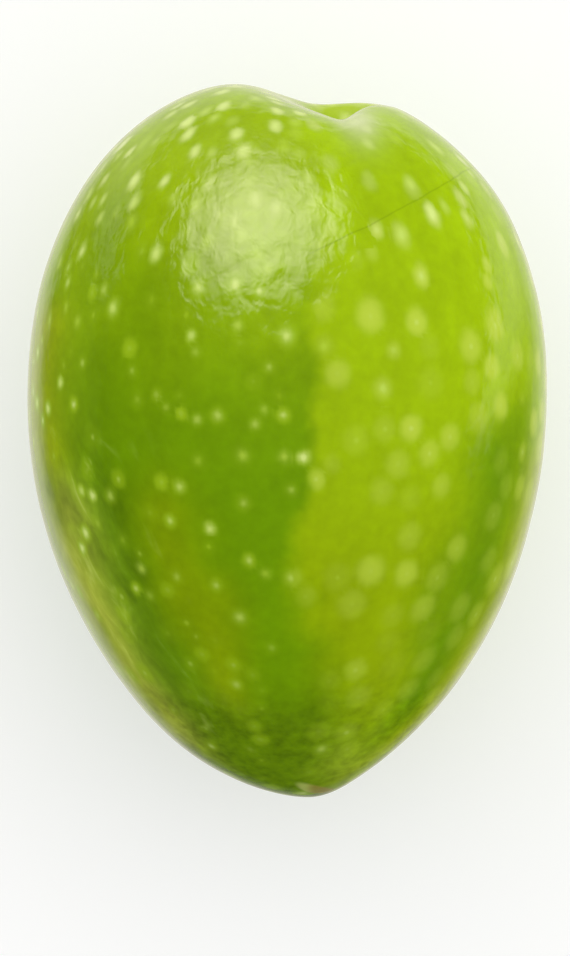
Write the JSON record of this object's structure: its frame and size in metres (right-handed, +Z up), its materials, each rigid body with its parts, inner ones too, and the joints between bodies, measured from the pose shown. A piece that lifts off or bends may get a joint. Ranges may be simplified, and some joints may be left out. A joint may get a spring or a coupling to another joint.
{
  "type": "souri olive",
  "caption": "Whole unripe green olive with a dented stem end and a pointed tip, lying on its side on a small flat spot.",
  "frame": {"origin": "on the surface the fruit lies on, under the middle of its bounding box", "axes": "+Z up, +Y along the fruit towards its stem end, +X across its width"},
  "size_m": [0.016, 0.022, 0.016],
  "materials": {
    "skin": "waxy satin fruit skin, bright yellow-green with pale lenticel spots"
  },
  "bodies": {
    "root": {"olive": "skin"}
  },
  "joints": []
}
